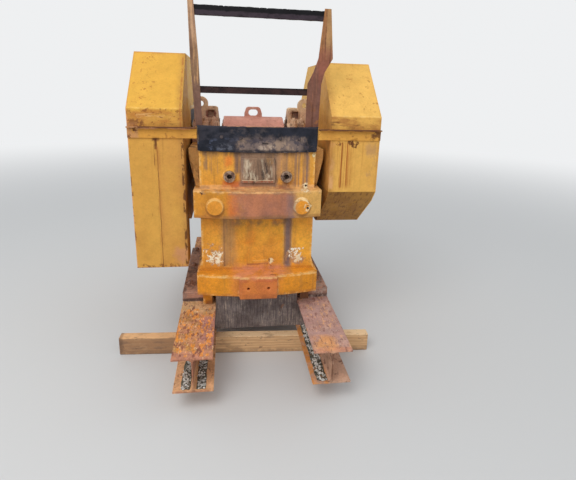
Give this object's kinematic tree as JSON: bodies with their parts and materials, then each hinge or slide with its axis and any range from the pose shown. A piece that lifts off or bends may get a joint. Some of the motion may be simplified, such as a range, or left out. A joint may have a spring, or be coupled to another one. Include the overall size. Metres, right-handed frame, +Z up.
{
  "type": "jaw crusher",
  "caption": "Single-toggle jaw crusher with ribbed cast front, hooded wheels, feed frame with rubber flap, on two steel beams and cross timbers.",
  "frame": {"origin": "middle of the footprint, on the floor under the timbers; the machine's own middle plane is at x = 0.075, because it stands to one side of the front timber's middle", "axes": "+Z up, the feed side with the bowed ribs faces -Y, +X to the right as seen from the feed side; the shaft lies along X"},
  "size_m": [1.6712, 2, 2.235],
  "materials": {
    "pine": "rough sawn",
    "beam_left_steel": "heavily rusted",
    "beam_right_steel": "rusted",
    "dark_plate": "weathered",
    "rusty_steel": "rusted",
    "frame_paint": "worn yellow paint on castings",
    "dark_steel": "dark, worn",
    "jaw_steel": "worn manganese steel",
    "machined_steel": "machined, dull",
    "cap_paint": "dirty cream paint",
    "wheel_iron": "dull",
    "primer": "faded primer",
    "rubber": "dusty",
    "post_steel": "rusted",
    "guard_paint": "faded yellow paint, rust runs"
  },
  "bodies": {
    "frame": {"timber_front": "pine", "timber_rear": "pine", "beam_left": "beam_left_steel", "beam_right": "beam_right_steel", "cross_plate": "dark_plate", "foot_rail_left": "rusty_steel", "foot_rail_right": "rusty_steel", "front_wall": "frame_paint", "side_wall_left": "frame_paint", "side_wall_right": "frame_paint", "rear_wall": "frame_paint", "jaw_washers": "dark_steel", "fixed_jaw": "jaw_steel", "cheek_left": "jaw_steel", "cheek_right": "jaw_steel", "bearing_left": "machined_steel", "bearing_right": "machined_steel", "bearing_cap_left": "cap_paint", "bearing_cap_right": "cap_paint", "toggle_block": "dark_steel", "toggle_plate": "rusty_steel", "tension_spring": "rusty_steel", "rubber_flap": "rubber", "post_left": "post_steel", "post_right": "post_steel", "mid_bar": "post_steel", "top_bar": "rubber", "guard_left": "guard_paint", "guard_left_inner": "guard_paint", "belt_drop": "guard_paint", "guard_right": "guard_paint", "guard_right_inner": "guard_paint", "bracket_left": "guard_paint", "bracket_right": "guard_paint", "bracket_rear_left": "guard_paint", "bracket_rear_right": "guard_paint"},
    "rotor": {"eccentric_shaft": "machined_steel", "drive_wheel": "wheel_iron", "flywheel": "wheel_iron"},
    "jaw": {"pitman": "primer", "swing_jaw": "jaw_steel", "toggle_seat": "dark_steel", "tension_rod": "dark_steel"}
  },
  "joints": [
    {"name": "shaft_turn", "type": "hinge", "parent": "frame", "child": "rotor", "pos_m": [0.075, 0.185, 1.36], "axis": [1, 0, 0], "continuous": true},
    {"name": "jaw_turn", "type": "hinge", "parent": "rotor", "child": "jaw", "pos_m": [0.075, 0.185, 1.35], "axis": [1, 0, 0], "continuous": true}
  ],
  "couplings": [
    {"joint": "jaw_turn", "follows": "shaft_turn", "ratio": -1}
  ]
}
